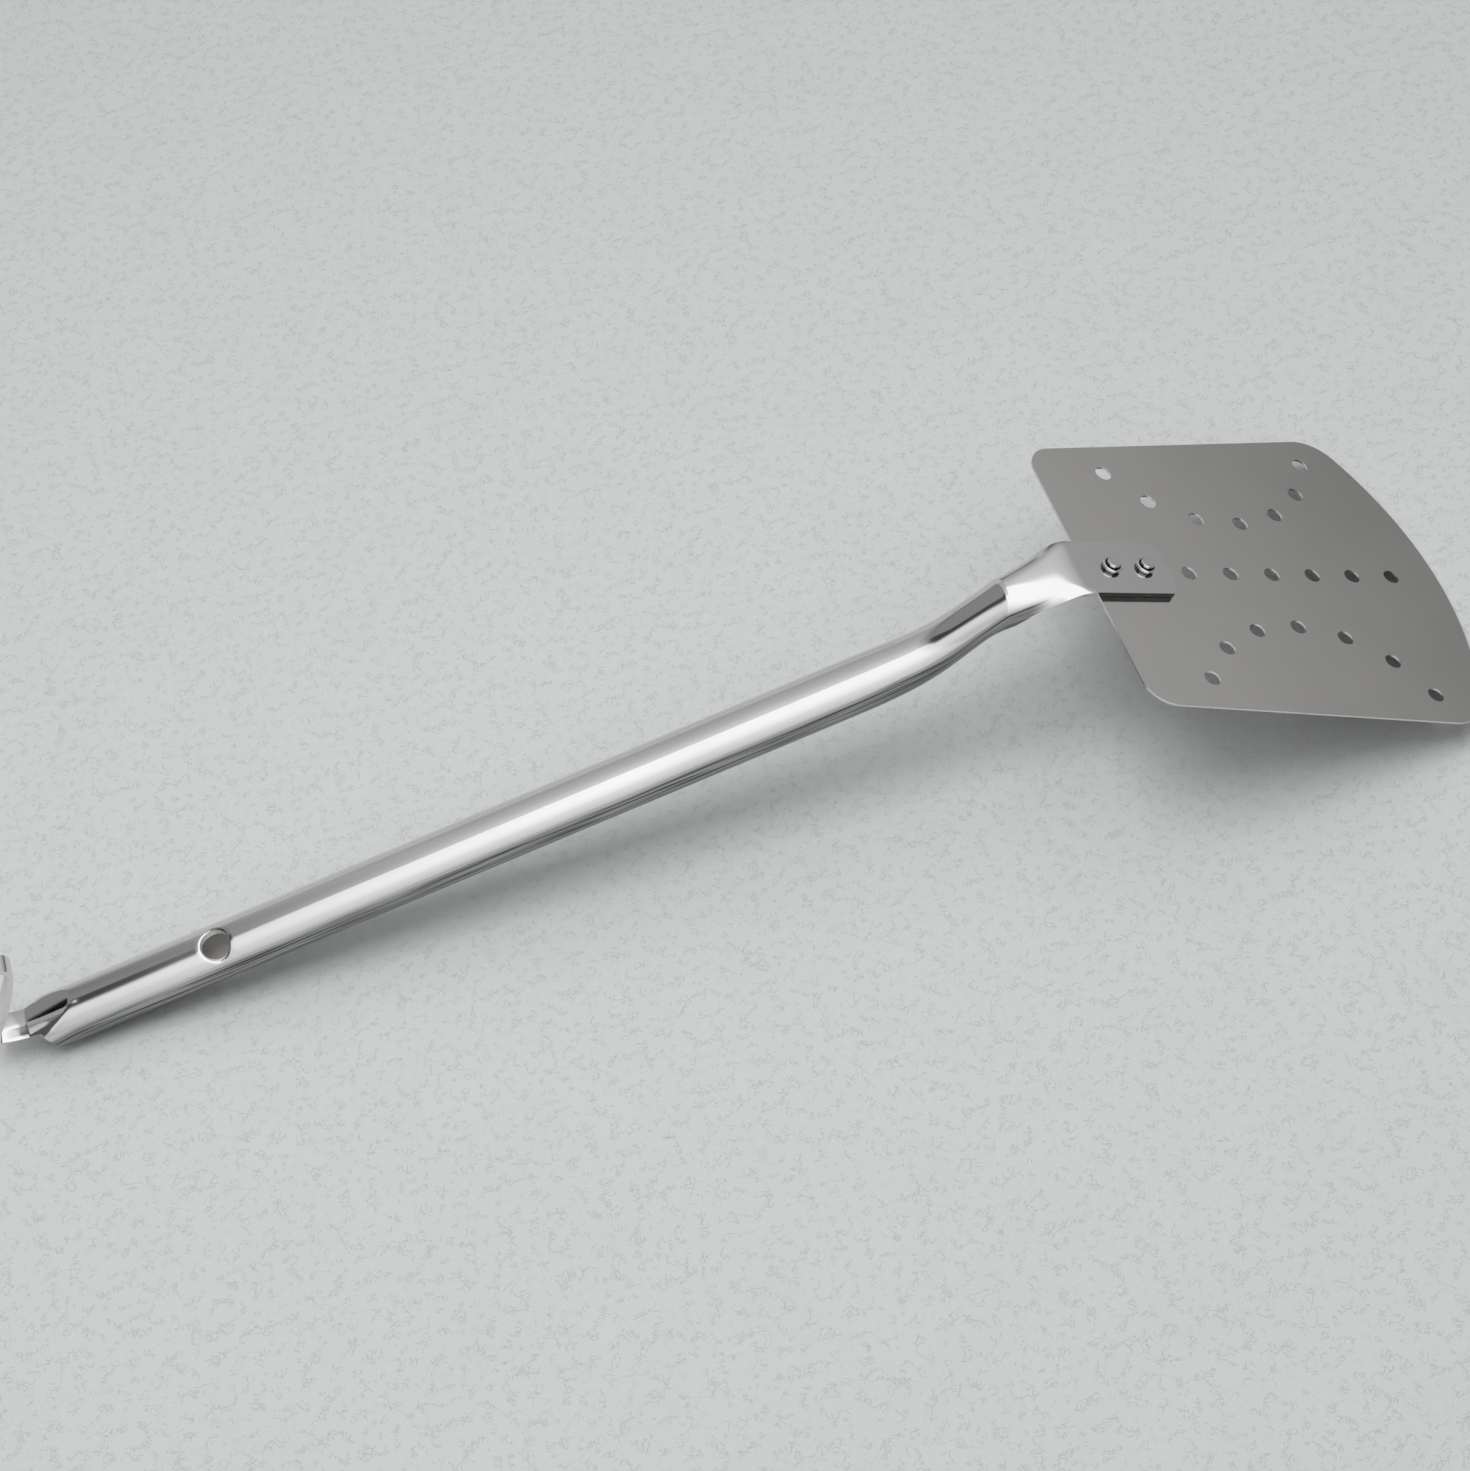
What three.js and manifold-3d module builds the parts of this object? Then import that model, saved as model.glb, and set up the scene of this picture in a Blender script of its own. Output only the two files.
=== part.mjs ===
// A perforated spatula in stainless steel, in millimetres, lying face down with +Z up.
// The flat blade is riveted to a handle that is formed from one strip of sheet:
// a flat tang, a neck, a rolled tube with its seam underneath, a hang hole, a tongue and a hook.
import * as THREE from "three";
import { mergeVertices } from "three/addons/utils/BufferGeometryUtils.js";
import Module from "manifold-3d";

// Blade
const BLADE_LENGTH = 125.7;
const BLADE_THICKNESS = 1;
const REAR_WIDTH = 96.7;
const SIDE_FLARE = 4.7; // degrees that each side opens towards the front
const REAR_CORNER = 9;
const FRONT_CORNER = 13;
const FRONT_RADIUS = 105;

// Perforation: a straight row down the middle and two arcs that bow towards it
const HOLE_DIAMETER = 5;
const ROW_HOLES = 6;
const ROW_START = 34.9; // rear edge to the first hole of the row
const ROW_PITCH = 14.7;
const ARC_HOLES = 7;
const ARC_RADIUS = 42.8;
const ARC_STEP = 20.6; // degrees from hole to hole
const ARC_LEAN = 5.1; // degrees that the middle hole of the arc is turned forward
const ARC_CENTRE_X = 59.4; // from the rear edge
const ARC_CENTRE_Y = 63; // from the middle of the blade

// Strip of the handle
const SHEET = 1.6;
const TUBE_DIAMETER = 16;
const SEAM_GAP = 1.2;
const TANG_WIDTH = 19.5;
const TANG_END_RADIUS = 22;
const TONGUE_WIDTH = 9.9;
const HOOK_WIDTH = 5.6;

// Run of the handle, from the front of the tang to the tip of the hook
const TANG_LAP = 26.7; // tang ahead of the blade's rear edge
const TANG_OVERHANG = 4.6; // flat tang behind the blade's rear edge
const TANG_BEND = 14.6; // radius
const NECK_ANGLE = 47.6; // degrees to the blade
const NECK_LENGTH = 23.3;
const NECK_BEND = 72; // radius
const HANDLE_ANGLE = 35.6; // degrees to the blade
const CURL_LEAD = 6; // the strip starts to curl this far before the tang's bend
const OPENING = 68; // length over which the seam closes behind the neck
const TUBE_LENGTH = 263;
const TAIL_TAPER = 11.5;
const WALL_END = 16; // length over which the tube's walls run out at the tail
const TONGUE_SINK = 3.3; // tongue below the tube's crown
const TONGUE_LENGTH = 5;
const TONGUE_SWEEP = 8; // degrees
const HOOK_BEND = 1.8; // radius
const HOOK_TURN = 125; // degrees from the tube's direction to the hook's leg
const HOOK_LEG = 32.5;

// Hang hole in the top of the tube
const HANG_HOLE = 9;
const HANG_HOLE_FROM_TAIL = 50;
const HANG_HOLE_TURN = 18; // degrees round the tube from its crown

// Rivets
const SHANK_DIAMETER = 3.2;
const RIVET_HEAD = 5.4;
const RIVET_HEIGHT = 1.8;
const RIVET_BASE = 6; // head under the blade
const RIVET_BASE_HEIGHT = 0.8;
const REAR_RIVET = 7.2; // from the blade's rear edge
const RIVET_PITCH = 11.4;

// Fits
const CLEARANCE = 0.25;

const SIDES = 24; // straight pieces round the tube
const rad = THREE.MathUtils.degToRad;
const wasm = await Module();
wasm.setup();

const steel = (color, roughness) => new THREE.MeshStandardMaterial({ color, roughness, metalness: 1 });

function toSolid(geometry) {
  const bare = geometry.clone();
  bare.deleteAttribute("normal");
  bare.deleteAttribute("uv");
  const merged = mergeVertices(bare, 1e-4);
  const index = merged.index ? merged.index.array : [...Array(merged.attributes.position.count).keys()];
  return new wasm.Manifold(
    new wasm.Mesh({
      numProp: 3,
      vertProperties: merged.attributes.position.array,
      triVerts: new Uint32Array(index),
    }),
  );
}

function toGeometry(solid) {
  const mesh = solid.getMesh();
  const geometry = new THREE.BufferGeometry();
  geometry.setAttribute("position", new THREE.BufferAttribute(mesh.vertProperties, 3));
  geometry.setIndex(new THREE.BufferAttribute(mesh.triVerts, 1));
  return geometry;
}

function cut(geometry, cutters) {
  const solid = cutters.reduce((left, cutter) => left.subtract(toSolid(cutter)), toSolid(geometry));
  return toGeometry(solid);
}

function arcPoints(x, y, radius, from, to, steps) {
  return Array.from({ length: steps + 1 }, (_, i) => {
    const angle = from + ((to - from) * i) / steps;
    return new THREE.Vector2(x + radius * Math.cos(angle), y + radius * Math.sin(angle));
  });
}

// The blade's outline on its +Y side, from the rear edge to the front, with the two corners rounded.
function bladeSide() {
  const flare = rad(SIDE_FLARE);
  const along = new THREE.Vector2(Math.cos(flare), Math.sin(flare));
  const out = new THREE.Vector2(-along.y, along.x);
  const corner = new THREE.Vector2(0, REAR_WIDTH / 2);
  const rearY = corner.y + (REAR_CORNER * (along.y - 1)) / along.x;
  const front = new THREE.Vector2(BLADE_LENGTH - FRONT_RADIUS, 0);
  const start = corner.clone().addScaledVector(out, -FRONT_CORNER);
  const offset = start.clone().sub(front);
  const half = offset.dot(along);
  const reach = -half + Math.sqrt(half * half - offset.lengthSq() + (FRONT_RADIUS - FRONT_CORNER) ** 2);
  const round = start.addScaledVector(along, reach);
  const edge = Math.atan2(round.y - front.y, round.x - front.x);
  return [
    ...arcPoints(REAR_CORNER, rearY, REAR_CORNER, Math.PI, Math.PI / 2 + flare, 8),
    ...arcPoints(round.x, round.y, FRONT_CORNER, Math.PI / 2 + flare, edge, 8),
    ...arcPoints(front.x, front.y, FRONT_RADIUS, edge, 0, 10).slice(1),
  ];
}

function holeCentres() {
  const row = Array.from({ length: ROW_HOLES }, (_, i) => [ROW_START + i * ROW_PITCH, 0]);
  const arc = Array.from({ length: ARC_HOLES }, (_, i) => {
    const angle = rad(ARC_LEAN + (i - (ARC_HOLES - 1) / 2) * ARC_STEP);
    const x = ARC_CENTRE_X + ARC_RADIUS * Math.sin(angle);
    return [x, ARC_CENTRE_Y - ARC_RADIUS * Math.cos(angle)];
  });
  return [...row, ...arc, ...arc.map(([x, y]) => [x, -y])];
}

const rivetHole = SHANK_DIAMETER / 2 + CLEARANCE;
const rivetPlaces = [REAR_RIVET, REAR_RIVET + RIVET_PITCH];

function bladeGeometry() {
  const side = bladeSide();
  const mirrored = side.slice(0, -1).reverse();
  const outline = [...side, ...mirrored.map((p) => new THREE.Vector2(p.x, -p.y))];
  const shape = new THREE.Shape(outline);
  const round = (x, y, radius) => {
    const hole = new THREE.Path();
    hole.absarc(x, y, radius, 0, 2 * Math.PI, false);
    shape.holes.push(hole);
  };
  holeCentres().forEach(([x, y]) => round(x, y, HOLE_DIAMETER / 2));
  rivetPlaces.forEach((x) => round(x, 0, rivetHole));
  const geometry = new THREE.ExtrudeGeometry(shape, {
    depth: BLADE_THICKNESS,
    bevelEnabled: false,
    curveSegments: 11,
  });
  return geometry.translate(0, 0, -BLADE_THICKNESS);
}

// The run of the strip's middle surface in the plane Y = 0: legs and bends, from the tang's front end.
const neckTurn = rad(NECK_ANGLE - HANDLE_ANGLE);
const hookTurn = rad(HOOK_TURN - TONGUE_SWEEP);
const runs = [
  { name: "tang", length: TANG_LAP + TANG_OVERHANG, turn: 0 },
  { name: "tangBend", length: TANG_BEND * rad(NECK_ANGLE), turn: rad(NECK_ANGLE) },
  { name: "neck", length: NECK_LENGTH, turn: 0 },
  { name: "neckBend", length: NECK_BEND * neckTurn, turn: -neckTurn },
  { name: "tube", length: TUBE_LENGTH, turn: 0 },
  { name: "taper", length: TAIL_TAPER, turn: 0 },
  { name: "tongue", length: TONGUE_LENGTH, turn: -rad(TONGUE_SWEEP) },
  { name: "hookBend", length: HOOK_BEND * hookTurn, turn: -hookTurn },
  { name: "leg", length: HOOK_LEG, turn: 0 },
];
const ends = {};
{
  let from = 0;
  let heading = Math.PI;
  let x = TANG_LAP;
  let z = CLEARANCE + SHEET / 2;
  for (const run of runs) {
    Object.assign(run, { from, heading, x, z });
    const last = along(run, run.length);
    from += run.length;
    heading = last.heading;
    x = last.x;
    z = last.z;
    ends[run.name] = from;
  }
}

function along(run, distance) {
  const bend = run.turn / run.length;
  const heading = run.heading + bend * distance;
  if (run.turn === 0) {
    const x = run.x + distance * Math.cos(heading);
    return { x, z: run.z + distance * Math.sin(heading), heading };
  }
  const x = run.x + (Math.sin(heading) - Math.sin(run.heading)) / bend;
  return { x, z: run.z - (Math.cos(heading) - Math.cos(run.heading)) / bend, heading };
}

const smooth = (from, to, at) => THREE.MathUtils.smoothstep(at, from, to);
const mix = THREE.MathUtils.lerp;
const middleRadius = (TUBE_DIAMETER - SHEET) / 2;
const seamAngle = Math.PI - SEAM_GAP / 2 / middleRadius;
const tangEnd = TANG_END_RADIUS - Math.sqrt(TANG_END_RADIUS ** 2 - (TANG_WIDTH / 2) ** 2);

// The strip's section at a distance along the run. The middle is flat over twice "flat", and the rest of
// "half", measured along the surface, is rolled down at the curvature "curl". "sink" lowers the pressed tail.
function sectionAt(at) {
  const opening = ends.tangBend + 0.75 * NECK_LENGTH;
  const rolled = smooth(ends.tang - CURL_LEAD, ends.neck, at);
  const wide = smooth(opening, opening + OPENING, at);
  const sink = TONGUE_SINK * THREE.MathUtils.clamp((at - ends.tube) / TAIL_TAPER, 0, 1);
  const walls = 1 - THREE.MathUtils.clamp((at - ends.taper) / WALL_END + 1, 0, 1) ** 2;
  const chord = Math.sqrt(middleRadius ** 2 - (middleRadius - sink) ** 2);
  const pressed = smooth(ends.tube - 3, ends.taper, at);
  const across = mix(middleRadius, TONGUE_WIDTH / 2 + SHEET / 2, pressed);
  const flat = Math.min(chord, across - SHEET / 2);
  const round = across - flat;
  let half = mix(TANG_WIDTH / 2, seamAngle * middleRadius, wide);
  if (at > ends.taper - WALL_END) half = flat + walls * seamAngle * round;
  const narrow = smooth(ends.tongue, ends.leg - HOOK_LEG / 2, at);
  if (at > ends.tongue) half = mix(half, HOOK_WIDTH / 2, narrow);
  if (at < tangEnd) half = Math.sqrt(TANG_END_RADIUS ** 2 - (TANG_END_RADIUS - at) ** 2);
  const tip = HOOK_WIDTH / 2 - (ends.leg - at);
  if (tip > 0) half = Math.sqrt((HOOK_WIDTH / 2) ** 2 - tip ** 2);
  return { half, flat: Math.min(flat, half), curl: rolled / round, sink };
}

// The tube's own axis
const tubeRun = runs.find((run) => run.name === "tube");
const tubeAlong = new THREE.Vector3(Math.cos(tubeRun.heading), 0, Math.sin(tubeRun.heading));
const tubeUp = new THREE.Vector3(tubeAlong.z, 0, -tubeAlong.x);
const tubeAxis = new THREE.Vector3(tubeRun.x, 0, tubeRun.z).addScaledVector(tubeUp, -middleRadius);

// One ring of points round the strip's section: along its outside, then back along its inside.
function ringAt(at) {
  const run = runs.find((r) => at <= r.from + r.length + 1e-9);
  const { x, z, heading } = along(run, at - run.from);
  const up = new THREE.Vector3(Math.sin(heading), 0, -Math.cos(heading));
  const { half, flat, curl, sink } = sectionAt(at);
  const place = (step, side) => {
    const reach = half * ((2 * step) / SIDES - 1);
    const sign = Math.sign(reach);
    const bent = Math.max(Math.abs(reach) - flat, 0);
    const angle = curl * bent;
    const across = Math.min(Math.abs(reach), flat) + (curl > 1e-6 ? Math.sin(angle) / curl : bent);
    const drop = curl > 1e-6 ? (1 - Math.cos(angle)) / curl : 0;
    const point = new THREE.Vector3(x, sign * across, z).addScaledVector(up, -drop);
    point.addScaledVector(tubeUp, -sink);
    point.addScaledVector(up, (side * SHEET * Math.cos(angle)) / 2);
    point.y += (sign * side * SHEET * Math.sin(angle)) / 2;
    return point;
  };
  const steps = [...Array(SIDES + 1).keys()];
  return [...steps.map((i) => place(i, 1)), ...steps.reverse().map((i) => place(i, -1))];
}

// Where the rings stand: close together at bends and ends, far apart on straight legs.
function stations() {
  const front = { tang: 3, tangBend: 9, neck: 7, neckBend: 5, tube: 14 };
  const counts = { ...front, taper: 12, tongue: 3, hookBend: 9, leg: 4 };
  const tipLength = HOOK_WIDTH / 2;
  const list = [0.02, 0.1, 0.25, 0.45, 0.7, 1].map((share) => share * tangEnd);
  for (const run of runs) {
    const last = run.name === "leg" ? run.length - tipLength : run.length;
    for (let i = 1; i <= counts[run.name]; i += 1) list.push(run.from + (last * i) / counts[run.name]);
  }
  const tip = [0.35, 0.6, 0.8, 0.92, 0.98].map((share) => ends.leg - tipLength * (1 - share));
  return [...list, ...tip];
}

function stripGeometry() {
  const rings = stations().map(ringAt);
  const size = rings[0].length;
  const index = [];
  const quad = (a, b, c, d) => index.push(a, b, c, a, c, d);
  for (let r = 0; r + 1 < rings.length; r += 1) {
    for (let i = 0; i < size; i += 1) {
      const j = (i + 1) % size;
      quad(r * size + i, r * size + j, (r + 1) * size + j, (r + 1) * size + i);
    }
  }
  const last = (rings.length - 1) * size;
  for (let i = 0; i < SIDES; i += 1) {
    quad(i + 1, i, size - 1 - i, size - 2 - i);
    quad(last + i, last + i + 1, last + size - 2 - i, last + size - 1 - i);
  }
  const geometry = new THREE.BufferGeometry().setFromPoints(rings.flat());
  geometry.setIndex(index);
  return geometry;
}

function handleGeometry() {
  const middle = tubeAxis.clone().addScaledVector(tubeAlong, TUBE_LENGTH - HANG_HOLE_FROM_TAIL);
  const outward = tubeUp.clone().applyAxisAngle(tubeAlong, -rad(HANG_HOLE_TURN));
  const hang = new THREE.CylinderGeometry(HANG_HOLE / 2, HANG_HOLE / 2, TUBE_DIAMETER / 2, 28);
  hang.translate(0, TUBE_DIAMETER / 2, 0);
  hang.applyQuaternion(new THREE.Quaternion().setFromUnitVectors(new THREE.Vector3(0, 1, 0), outward));
  hang.translate(middle.x, middle.y, middle.z);
  const drills = rivetPlaces.map((x) => {
    const drill = new THREE.CylinderGeometry(rivetHole, rivetHole, 4 * SHEET, 22).rotateX(Math.PI / 2);
    return drill.translate(x, 0, CLEARANCE + SHEET / 2);
  });
  return cut(stripGeometry(), [hang, ...drills]);
}

// A solid rivet with a low head under the blade and a steep-sided round head on the tang.
function rivetGeometry() {
  const under = -BLADE_THICKNESS - CLEARANCE;
  const seat = CLEARANCE + SHEET + CLEARANCE;
  const shank = SHANK_DIAMETER / 2;
  const head = RIVET_HEAD / 2;
  const base = RIVET_BASE / 2;
  const wall = RIVET_HEIGHT * 0.4;
  const dome = Array.from({ length: 5 }, (_, i) => {
    const angle = (Math.PI / 2) * (i / 5);
    return [head * Math.cos(angle), seat + wall + (RIVET_HEIGHT - wall) * Math.sin(angle)];
  });
  const profile = [
    [0, under - RIVET_BASE_HEIGHT],
    [base * 0.8, under - RIVET_BASE_HEIGHT],
    [base, under - RIVET_BASE_HEIGHT * 0.4],
    [base, under],
    [shank, under],
    [shank, seat],
    [head, seat],
    ...dome,
    [0, seat + RIVET_HEIGHT],
  ];
  const lathe = new THREE.LatheGeometry(profile.map(([r, z]) => new THREE.Vector2(r, z)), 24);
  return toGeometry(toSolid(lathe.rotateX(Math.PI / 2)));
}

function mesh(name, geometry, material) {
  const made = new THREE.Mesh(geometry, material);
  made.name = name;
  geometry.computeVertexNormals();
  return made;
}

const handle = mesh("handle", handleGeometry(), steel(0xb9b9b7, 0.12));
const blade = mesh("blade", bladeGeometry(), steel(0xaeada9, 0.2));
const rivets = rivetPlaces.map((x, i) => {
  const rivet = mesh(i === 0 ? "rivet_rear" : "rivet_front", rivetGeometry(), steel(0xb4b4b2, 0.15));
  rivet.position.x = x;
  return rivet;
});

// It lies on the front of the blade and on the tail: tilt the whole until both touch the table.
const assembly = new THREE.Group();
assembly.name = "assembly";
assembly.add(blade, handle, ...rivets);
const tip = new THREE.Vector2(BLADE_LENGTH, -BLADE_THICKNESS);
const points = handle.geometry.attributes.position;
let tilt = 0;
for (let i = 0; i < points.count; i += 1) {
  const slope = Math.atan2(tip.y - points.getZ(i), tip.x - points.getX(i));
  if (points.getX(i) < 0) tilt = Math.max(tilt, slope);
}
assembly.rotation.y = tilt;
const spatula = new THREE.Group();
spatula.name = "spatula";
spatula.add(assembly);
spatula.updateMatrixWorld(true);
const box = new THREE.Box3().setFromObject(assembly, true);
assembly.position.set(-(box.min.x + box.max.x) / 2, -(box.min.y + box.max.y) / 2, -box.min.z);
spatula.updateMatrixWorld(true);

export default spatula;
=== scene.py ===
# %% [markdown]
# # A perforated spatula
# The real thing is four pieces of stainless steel: a perforated blade, a handle formed from one strip,
# and the two rivets that join them. The solids are already packed as a fixed frame, so this lesson only
# makes what is seen: smooth, finely divided versions of the same four pieces, their polished finish, a
# table and light.

# %% Load the frame
import math
from collections import namedtuple
import bmesh
import bpy
from mathutils import Matrix, Vector


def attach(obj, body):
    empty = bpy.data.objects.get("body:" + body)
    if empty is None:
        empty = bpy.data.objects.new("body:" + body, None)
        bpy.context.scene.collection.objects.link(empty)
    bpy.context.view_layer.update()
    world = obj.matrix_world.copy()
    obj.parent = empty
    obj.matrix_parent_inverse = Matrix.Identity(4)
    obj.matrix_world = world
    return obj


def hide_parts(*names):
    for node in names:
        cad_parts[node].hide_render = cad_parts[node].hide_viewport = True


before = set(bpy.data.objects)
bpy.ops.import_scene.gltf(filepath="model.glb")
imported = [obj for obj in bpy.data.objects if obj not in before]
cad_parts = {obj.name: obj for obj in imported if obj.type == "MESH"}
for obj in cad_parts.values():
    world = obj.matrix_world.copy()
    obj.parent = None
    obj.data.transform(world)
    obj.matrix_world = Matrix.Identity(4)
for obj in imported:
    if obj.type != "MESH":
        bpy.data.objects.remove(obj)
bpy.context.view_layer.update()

# %% [markdown]
# ## Camera
# The photograph was taken from above the near side with a normal lens. The place and the turn were found
# by matching the blade's holes, so the render can be laid over the photograph.

# %% Camera
LENS, SENSOR = 65.57, 36.0
CAMERA_AT = (-0.0600992, -0.4301529, 0.6524043)
CAMERA_TURN = (34.69925, 6.42518, -17.61669)
lens = bpy.data.cameras.new("photo_camera")
lens.sensor_fit = "HORIZONTAL"
lens.sensor_width = SENSOR
lens.lens = LENS
camera = bpy.data.objects.new("photo_camera", lens)
camera.location = CAMERA_AT
camera.rotation_euler = [math.radians(turn) for turn in CAMERA_TURN]
bpy.context.collection.objects.link(camera)
bpy.context.scene.camera = camera
bpy.context.scene.view_settings.view_transform = "Standard"
print("camera at", CAMERA_AT, "with a lens of", LENS, "mm")

# %% [markdown]
# ## Working with node trees
# The geometry trees and the materials below could be wired by hand in the node editor, but in code they
# can be read from top to bottom. A small class wraps one output of a node so that plain signs add the
# Math nodes, and one method makes every other node.

# %% Wires
class Wire:
    """One output of a node, which can be reckoned with like a number."""

    def __init__(self, board, socket):
        self.board = board
        self.socket = socket

    def out(self, key):
        return Wire(self.board, self.socket.node.outputs[key])

    def sum(self, operation, first, second=0.0):
        return self.board.node("ShaderNodeMath", {"operation": operation}, {0: first, 1: second})

    def __add__(self, other):
        return self.sum("ADD", self, other)

    def __radd__(self, other):
        return self.sum("ADD", other, self)

    def __sub__(self, other):
        return self.sum("SUBTRACT", self, other)

    def __rsub__(self, other):
        return self.sum("SUBTRACT", other, self)

    def __mul__(self, other):
        return self.sum("MULTIPLY", self, other)

    def __rmul__(self, other):
        return self.sum("MULTIPLY", other, self)

    def __truediv__(self, other):
        return self.sum("DIVIDE", self, other)


# %% Boards
class Board:
    """A node tree, and the one way to add a node to it."""

    def __init__(self, tree):
        self.tree = tree

    def node(self, kind, settings=None, sockets=None, out=0):
        made = self.tree.nodes.new(kind)
        for name, value in (settings or {}).items():
            if name == "stops":
                ramp = made.color_ramp.elements
                while len(ramp) < len(value):
                    ramp.new(0.5)
                for stop, (place, grey) in zip(ramp, value):
                    stop.position = place
                    stop.color = (grey, grey, grey, 1.0)
            else:
                setattr(made, name, value)
        for key, value in (sockets or {}).items():
            if isinstance(value, Wire):
                self.tree.links.new(value.socket, made.inputs[key])
            else:
                made.inputs[key].default_value = value
        return Wire(self, made.outputs[out]) if made.outputs else made

    def ease(self, value, start, stop):
        """0 at start and 1 at stop, with a smooth step between."""
        return self.node(
            "ShaderNodeMapRange", {"interpolation_type": "SMOOTHSTEP"},
            {"Value": value, "From Min": start, "From Max": stop},
        )


def cleared_board(owner):
    """The emptied node tree of a material or a world."""
    owner.use_nodes = True
    owner.node_tree.nodes.clear()
    return Board(owner.node_tree)


# %% Geometry trees
def geometry_tree(name, inputs):
    """A new geometry tree with a geometry in and out, and named inputs with their types."""
    tree = bpy.data.node_groups.new(name, "GeometryNodeTree")
    tree.interface.new_socket("Geometry", in_out="INPUT", socket_type="NodeSocketGeometry")
    tree.interface.new_socket("Geometry", in_out="OUTPUT", socket_type="NodeSocketGeometry")
    for label, kind in inputs:
        tree.interface.new_socket(label, in_out="INPUT", socket_type="NodeSocket" + kind)
    return Board(tree)


def run_tree(obj, board, values):
    """Puts the tree on the object with its inputs set, by identifier."""
    modifier = obj.modifiers.new(board.tree.name, "NODES")
    modifier.node_group = board.tree
    for item in board.tree.interface.items_tree:
        if item.item_type == "SOCKET" and item.in_out == "INPUT" and item.name in values:
            modifier[item.identifier] = values[item.name]


# %% Pieces
def new_piece(name, points, edges, faces):
    mesh = bpy.data.meshes.new(name)
    mesh.from_pydata(points, edges, faces)
    mesh.update()
    obj = bpy.data.objects.new(name, mesh)
    bpy.context.collection.objects.link(obj)
    return obj


def round_edges(obj, width, least_turn):
    """A small bevel on every edge that turns by more than so many degrees."""
    rim = obj.modifiers.new("rim", "BEVEL")
    rim.width = width
    rim.segments = 3
    rim.limit_method = "ANGLE"
    rim.angle_limit = math.radians(least_turn)
    rim.harden_normals = True


def made_plain(obj, name):
    """A new object at the origin whose mesh is what obj's modifiers make. The old object is removed."""
    bpy.context.view_layer.update()
    seen = obj.evaluated_get(bpy.context.evaluated_depsgraph_get())
    mesh = bpy.data.meshes.new_from_object(seen)
    mesh.name = name
    old = obj.data
    bpy.data.objects.remove(obj)
    bpy.data.meshes.remove(old)
    piece = bpy.data.objects.new(name, mesh)
    bpy.context.collection.objects.link(piece)
    box = [tuple(round(v, 2) for v in piece.bound_box[corner]) for corner in (0, 6)]
    print(name, len(mesh.vertices), "points", len(mesh.polygons), "faces, box", box)
    return piece


# %% [markdown]
# ## How the spatula lies
# Every piece is drawn flat first, in millimetres, with the origin in the middle of the blade's rear edge,
# X to the front and Z out of the blade's upper face. It could be drawn in place, but then no length would
# be a plain number. One matrix lays the whole tool down as the solids lie: on the front edge of the blade
# and the tail of the handle.

# %% From the drawing to the table
MILLIMETRE = 0.001
TILT = math.radians(27.5422)
REAR_EDGE = (0.10964869, 0.0, 0.05901057)
lay_down = Matrix.Translation(REAR_EDGE) @ Matrix.Rotation(TILT, 4, "Y") @ Matrix.Scale(MILLIMETRE, 4)


def finish_piece(piece, nodes):
    """Lays the drawn piece down and lets it stand for its solids."""
    piece.data.transform(lay_down)
    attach(piece, "root")
    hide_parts(*nodes)


print("the blade slopes", round(math.degrees(TILT), 1), "degrees")

# %% [markdown]
# ## Steel finishes
# The blade and the handle are polished almost to a mirror, so their look is mostly what they reflect. A
# plain metal would look drawn with a ruler, so the steel adds three small things: fine polishing lines
# along the grain, patches that are a little duller, and a very slight swell that bends the reflections.
# Polishing did not reach the handle's near lower side, which is darker, in streaks along the tube. They
# The handle's near lower side is duller, and darker in streaks along the tube: painted shade that stands
# in for the shaded table it reflects. The streaks follow the strip, so they are drawn on its own map, whose
# unit is 100 mm along the strip and across it from its middle line.

# %% Streaks on the handle
STREAK_SCALE = (3.0, 170.0, 1.0)
NEAR_SIDE = (-0.078, -0.093)
NECK_SHIFT, SLIM_NECK = 0.016, (1.1, 0.6)
STREAK_START = (0.39, 0.47)
# How dark the painted shade on the near lower side is, how much its streaks lighten it, and how much duller
# it is.
LOW_SIDE_SHADE, LOW_SHADE_CONTRAST, STREAK_DULL = 0.86, 0.45, 1.5
STREAK_TONES = (0.35, 0.65)


def streaks(board):
    """Where the duller near lower side with its painted shade lies, and how light its streaks are, both
    from 0 to 1.
    """
    net = board.node("ShaderNodeUVMap", {"uv_map": "net"})
    over = board.node("ShaderNodeSeparateXYZ", {}, {0: net})
    drawn_out = board.node("ShaderNodeMapping", {}, {"Vector": net, "Scale": STREAK_SCALE})
    marks = board.node("ShaderNodeTexNoise", {}, {"Vector": drawn_out, "Scale": 1.0, "Detail": 2.0})
    aside = over.out(1) - NECK_SHIFT * board.ease(over.out(0), *SLIM_NECK)
    low = board.ease(aside, *NEAR_SIDE) * board.ease(over.out(0), *STREAK_START)
    return low, board.ease(marks, *STREAK_TONES)


# %% Steel
GRAIN_SCALE, PATCH_SCALE, SWELL_SCALE = (40.0, 2600.0, 2600.0), 34.0, 60.0
GRAIN_DEPTH, SWELL_DEPTH = 0.00002, 0.0001
LEAST_DULL, LINE_DULL, PATCH_DULL = 0.7, 0.35, 0.5
LEAST_SHADE, PATCH_SHADE, GROOVE_SHADE_DARK = 0.94, 0.12, 0.9


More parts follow.
